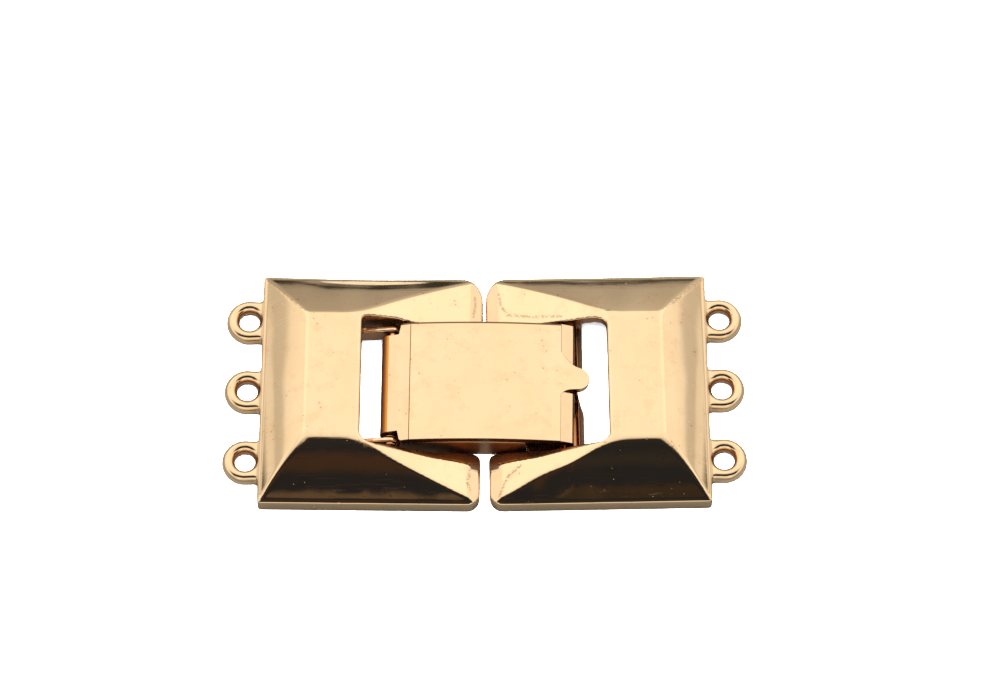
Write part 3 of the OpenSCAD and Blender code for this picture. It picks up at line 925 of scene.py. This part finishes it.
def turned_pin():
    """The pin with its two domed heads, spun from a profile of radius and height."""
    rim_y = HEAD_Y + (PIN_END - HEAD_Y) * HEAD_RIM
    dome = [(HEAD_R * math.cos(a), rim_y + (PIN_END - rim_y) * math.sin(a))
            for a in (math.radians(90.0 * i / 6) for i in range(7))]
    half = [(PIN_R, HEAD_Y), (HEAD_R, HEAD_Y)] + dome
    bm = bmesh.new()
    line = [bm.verts.new((max(r, 0.0), y, 0.0)) for r, y in [(r, -y) for r, y in reversed(half)] + half]
    edges = [bm.edges.new(pair) for pair in zip(line, line[1:])]
    bmesh.ops.spin(bm, geom=line + edges, cent=(0.0, 0.0, 0.0), axis=(0.0, 1.0, 0.0), angle=math.tau,
                   steps=32)
    bmesh.ops.remove_doubles(bm, verts=bm.verts, dist=MERGE)
    bmesh.ops.recalc_face_normals(bm, faces=bm.faces)
    return mesh_from(bm, "turned_pin")


# The studio

def studio_world():
    """Soft light from all round, darker where the camera stands, with a dim band at the horizon."""
    world = bpy.data.worlds.new("studio")
    bpy.context.scene.world = world
    world.use_nodes = True
    tree = world.node_tree
    back = tree.nodes["Background"]
    way = add_node(tree, "ShaderNodeTexCoord", (-1400, 0)).outputs["Generated"]
    x, y, z = add_node(tree, "ShaderNodeSeparateXYZ", (-1200, 0), {0: way}).outputs
    # Angle from straight up towards the far side, as a share of a full turn, made to waver by a noise
    angle = worked_out(tree, (-1000, 100), y, "ARCTAN2", z)
    turned = worked_out(tree, (-800, 100), angle, "MULTIPLY_ADD", 1.0 / math.tau, 0.5 - STREAKS / 2)
    stretched = add_node(tree, "ShaderNodeMapping", (-1200, 400), {"Vector": way, "Scale": (30.0, 5.0, 5.0)})
    uneven = add_node(tree, "ShaderNodeTexNoise", (-1000, 400), {
        "Vector": stretched.outputs[0], "Scale": 1.0, "Detail": 3.0, "Roughness": 0.6})
    shaken = worked_out(tree, (-700, 300), uneven.outputs["Fac"], "MULTIPLY_ADD", STREAKS, turned)

    def bands(at, stops):
        return ramp(tree, at, shaken, [(0.5 + degrees / 360.0, tone) for degrees, tone in stops])

    # Light from behind the camera, above and past the clasp, as the left and the right half mirror it
    behind = [(-180, 0.3), (-100, 0.4), (-90, 0.6), (-75, 0.9), (-54, 1.0), (-50, 0.5), (-48, 0.03),
              (-45.5, 0.03)]
    above = [(-4, 0.6), (3, 0.95), (14, 1.0), (24, 1.12), (54, 1.15)]
    beyond = [(107, 0.6), (112, 1.0), (150, 1.0), (180, 0.3)]
    on_left = bands((-600, 300), behind + [
        (-44, (0.1, 0.075, 0.055)), (-41, (0.12, 0.09, 0.065)), (-39.5, DARK), (-32, DARK),
        (-30, (0.045, 0.03, 0.022)), (-25, (0.05, 0.03, 0.024)), (-23, DARK), (-10, 0.03),
    ] + above + [(62, 0.5), (75, 0.42), (90, 0.36), (94, 0.3), (95.5, 0.03), (105, 0.03)] + beyond)
    on_right = bands((-600, 100), behind + [
        (-44, (0.035, 0.026, 0.02)), (-41, (0.04, 0.03, 0.022)), (-39.5, DARK), (-32, DARK),
        (-29, 0.03), (-23, DARK), (-10, 0.03),
    ] + above + [(62, 0.62), (75, 0.54), (90, 0.47), (94, 0.38), (95, 0.1), (98, 0.1), (99, 0.6)] + beyond)
    half = mapped(tree, (-800, 700), x, -0.02, 0.02)
    front_to_back = mixed_colour(tree, (-450, 250), half, on_left, on_right)

    sideways = worked_out(tree, (-800, -250), x, "ABSOLUTE")
    gain = ramp(tree, (-600, -250), sideways, [
        (0.15, 0.9), (0.35, 1.0), (0.45, 1.0), (0.56, 0.84), (0.7, 0.8)])
    lit = add_node(tree, "ShaderNodeMix", (-350, 50), {0: 1.0, 6: front_to_back, 7: gain}, data_type="RGBA",
                   blend_type="MULTIPLY")
    to_side = ramp(tree, (-600, -500), sideways, [(0.62, 0.0), (0.78, 1.0)])
    side_tone = ramp(tree, (-600, -750), mapped(tree, (-800, -750), z, -1.0, 1.0), [
        (0.45, 0.12), (0.505, 0.15), (0.54, 0.78), (0.575, 0.74), (0.59, 0.55), (0.63, 0.58), (0.66, 0.86),
        (0.72, 0.95), (0.85, 1.0)])
    tree.links.new(mixed_colour(tree, (-200, 0), to_side, lit.outputs[2], side_tone), back.inputs["Color"])
    back.inputs["Strength"].default_value = WORLD_STRENGTH


def matt_grey(name, near_tone, under_tone, far_tone):
    """A matt grey with one tone in front of the clasp, one under it and one behind it; darker tones in front and
    under it are painted shadow of the clasp.
    """
    material, tree, shader, place = new_material(name)
    shader.inputs["Roughness"].default_value = 0.9
    split = add_node(tree, "ShaderNodeSeparateXYZ", (-700, 0), {0: place})
    across = mapped(tree, (-500, 0), split.outputs["Y"], -HALF_W / 2, HALF_W / 2)
    grey = ramp(tree, (-300, 0), across, [
        (0.02, near_tone), (0.06, under_tone), (0.95, under_tone), (1.0, far_tone)])
    tree.links.new(grey, shader.inputs["Base Color"])
    return material


def flat_plane(name, material, low, high, z):
    """A level rectangle between two corners."""
    bm = bmesh.new()
    corners = ((low[0], low[1]), (high[0], low[1]), (high[0], high[1]), (low[0], high[1]))
    bm.faces.new([bm.verts.new((x, y, z)) for x, y in corners])
    made = object_from(mesh_from(bm, name, material), name)
    return made


# What a user changes

def size_choice(name, description, default):
    """A property for a size in metres."""
    return FloatProperty(name=name, description=description, default=default, unit="LENGTH", precision=5)


def colour_choice(name, description, default):
    """A property for a colour."""
    return FloatVectorProperty(name=name, description=description, default=default, subtype="COLOR")


def share_choice(name, description, default):
    """A property for a share from 0 to 1."""
    return FloatProperty(name=name, description=description, default=default, min=0.0, max=1.0)


class CastingSizes(PropertyGroup):
    cell: size_choice("Cell", "Size of the skin's cells", 0.106 * MM)
    rounds: IntProperty(name="Polish", description="How often the skin is softened", default=5, min=0)
    eye_rounds: IntProperty(name="Eye polish", description="How often the eyes are softened again", default=4,
                            min=0)
    eye_outer: size_choice("Eye", "Outer radius of an eye", 1.8 * MM)
    eye_hole: size_choice("Eye hole", "Radius of the hole in an eye", 0.78 * MM)
    ridge: size_choice("Ridge", "How far a ridge of the roof is rounded", 0.16 * MM)
    hip: size_choice("Hip", "How far a corner of the near flank is rounded", 0.3 * MM)
    belly: FloatProperty(name="Belly", description="How much a slope of the roof bulges", default=0.3)


class LidSizes(PropertyGroup):
    sheet: size_choice("Sheet", "Thickness of the lid's sheet", 0.6 * MM)
    edge: size_choice("Edge", "Width of the rounding on the sheet's edges", 0.09 * MM)
    tab: size_choice("Thumb tab", "Reach of the thumb tab past the bend line", 2.22 * MM)


class GoldFinish(PropertyGroup):
    plate: colour_choice("Plate", "Colour of clean gold plate", (0.95, 0.68, 0.39))
    worn: colour_choice("Worn plate", "Colour where the plate is thin", (0.93, 0.64, 0.35))
    # The pin's darker, redder gold is painted shade of the gaps by the knuckle's ends
    wire: colour_choice("Pin", "Colour of the hinge pin", (0.8, 0.42, 0.2))
    stain: colour_choice("Stain", "Colour of the faint stains", (0.92, 0.6, 0.33))
    speck: colour_choice("Speck", "Colour of the small specks", (0.6, 0.36, 0.2))
    # Painted shade: the brown that stands in for shade in recesses, undersides and holes where no polish reached
    painted_shade: colour_choice("Painted shade", "Colour where no polish reached", (0.7, 0.38, 0.2))
    # Painted glow: the orange of light mirrored between gold parts, on the knuckle's upper side and a near arm's
    # bevel
    amber_glow: colour_choice("Amber glow", "Colour of the knuckle's upper side", (0.8, 0.36, 0.07))
    # Painted shade: the dark lines along cut edges, bends, the foot and rims
    outline: colour_choice("Outline", "Colour of the lines along cut edges and bends", (0.2, 0.11, 0.06))
    roughness: share_choice("Roughness", "How dull the polish is", 0.055)


class StudioSetting(PropertyGroup):
    lens: FloatProperty(name="Lens", description="Focal length on a sensor 36 mm wide, in millimetres",
                        default=221.4)
    distance: size_choice("Distance", "From the camera to the clasp", 480.0 * MM)
    tilt: FloatProperty(name="Tilt", description="Angle of the view from straight down",
                        default=math.radians(26.0), subtype="ANGLE")
    roll: FloatProperty(name="Roll", description="Turn of the camera about its view",
                        default=math.radians(-0.204), subtype="ANGLE")
    aim: FloatVectorProperty(name="Aim", description="Point in the middle of the view",
                             default=(1.52 * MM, 3.09 * MM, 2.0 * MM), subtype="TRANSLATION")
    floor_light: FloatProperty(name="Floor light", description="Strength of the lamp that whitens the floor",
                               default=25.0)
    # Greys of the mirrored floor: darker in front of and under the clasp as painted shadow
    bounce: share_choice("Bounce", "Grey of the floor as the polished metal mirrors it", 0.03)
    under_bounce: share_choice("Under bounce", "The same under the clasp", 0.05)
    far_bounce: share_choice("Far bounce", "The same behind the clasp", 0.12)


# Operators, one for each piece or pair of pieces and one for the stage

class CLASP_OT_halves(Operator):
    """Makes both hollow castings with their strand eyes, lugs and catch plate"""

    bl_idname = "clasp.halves"
    bl_label = "Cast halves"

    def execute(self, context):
        sizes = context.scene.clasp_castings
        gold = polished_gold("cast_gold", context.scene.clasp_finish)
        for side in ("left", "right"):
            finish_piece(casting(side, sizes, gold), f"{side}_casting", gold, "clasp_body",
                         f"{side}_half", half_frame(side))
        return {"FINISHED"}


class CLASP_OT_lid(Operator):
    """Folds the lid from sheet, with its rolled knuckle, its lips and its thumb tab"""

    bl_idname = "clasp.lid"
    bl_label = "Folded lid"

    def execute(self, context):
        gold = polished_gold("sheet_gold", context.scene.clasp_finish)
        mesh = lid_sheet(context.scene.clasp_lid, gold)
        finish_piece(mesh, "lid_sheet", gold, "lid", "lid", pin_frame(), 9.0)
        return {"FINISHED"}


class CLASP_OT_tongue(Operator):
    """Makes the channel under the lid, its edges softened"""

    bl_idname = "clasp.tongue"
    bl_label = "Tongue"

    def execute(self, context):
        gold = polished_gold("tongue_gold", context.scene.clasp_finish)
        mesh = tongue_channel()
        finish_piece(mesh, "tongue_channel", gold, "clasp_body", "tongue", pin_frame())
        return {"FINISHED"}


class CLASP_OT_pin(Operator):
    """Turns the hinge pin with its two peened heads"""

    bl_idname = "clasp.pin"
    bl_label = "Hinge pin"

    def execute(self, context):
        gold = polished_gold("pin_gold", context.scene.clasp_finish)
        mesh = turned_pin()
        finish_piece(mesh, "turned_pin", gold, "clasp_body", "hinge_pin", pin_frame(), 40.0)
        return {"FINISHED"}


class CLASP_OT_stage(Operator):
    """Sets up the pale floor, the soft light and the camera"""

    bl_idname = "clasp.stage"
    bl_label = "Studio"

    def execute(self, context):
        scene = context.scene
        setting = scene.clasp_studio
        pale = matt_grey("floor", 0.92, 0.92, 0.92)
        floor = flat_plane("floor", pale, (-FLOOR_HALF, -FLOOR_HALF), (FLOOR_HALF, FLOOR_HALF), 0.0)
        set_up(floor, visible_glossy=False, visible_diffuse=False, visible_shadow=False)
        # The metal mirrors only this floor; its darker tones in front of and under the clasp are painted shadow
        mirrored = matt_grey("bounce_floor", setting.bounce, setting.under_bounce, setting.far_bounce)
        set_up(flat_plane("bounce_floor", mirrored, *BOUNCE_CORNERS, BOUNCE_Z), visible_camera=False)

        studio_world()
        lamp = set_up(bpy.data.lights.new("floor_light", "SUN"), energy=setting.floor_light,
                      angle=math.radians(80.0))
        set_up(object_from(lamp, "floor_light"), visible_glossy=False)
        lens = set_up(bpy.data.cameras.new("photo_camera"), sensor_width=36.0, lens=setting.lens,
                      clip_start=0.01)
        camera = object_from(lens, "photo_camera")
        away = Vector((0.0, -math.sin(setting.tilt), math.cos(setting.tilt)))
        turn = Matrix.Rotation(setting.tilt, 4, "X") @ Matrix.Rotation(setting.roll, 4, "Z")
        camera.matrix_world = Matrix.Translation(Vector(setting.aim) + away * setting.distance) @ turn
        scene.camera = camera
        scene.view_settings.view_transform = "Standard"
        return {"FINISHED"}


class CLASP_PT_sidebar(Panel):
    """Lists the pieces of the clasp"""

    bl_idname = "CLASP_PT_sidebar"
    bl_label = "Fold over clasp"
    bl_space_type = "VIEW_3D"
    bl_region_type = "UI"
    bl_category = "Clasp"

    def draw(self, context):
        for step in STEPS:
            self.layout.operator(step.bl_idname)


STEPS = (CLASP_OT_stage, CLASP_OT_halves, CLASP_OT_lid, CLASP_OT_tongue, CLASP_OT_pin)
GROUPS = {
    "clasp_castings": CastingSizes,
    "clasp_lid": LidSizes,
    "clasp_finish": GoldFinish,
    "clasp_studio": StudioSetting,
}


def register():
    for group in (*GROUPS.values(), *STEPS, CLASP_PT_sidebar):
        bpy.utils.register_class(group)
    for name, group in GROUPS.items():
        setattr(bpy.types.Scene, name, PointerProperty(type=group))


def unregister():
    for name in GROUPS:
        delattr(bpy.types.Scene, name)
    for group in reversed((*GROUPS.values(), *STEPS, CLASP_PT_sidebar)):
        bpy.utils.unregister_class(group)


def main():
    register()
    bpy.ops.clasp.stage()
    bpy.ops.clasp.halves()
    bpy.ops.clasp.lid()
    bpy.ops.clasp.tongue()
    bpy.ops.clasp.pin()


if __name__ == "__main__":
    main()
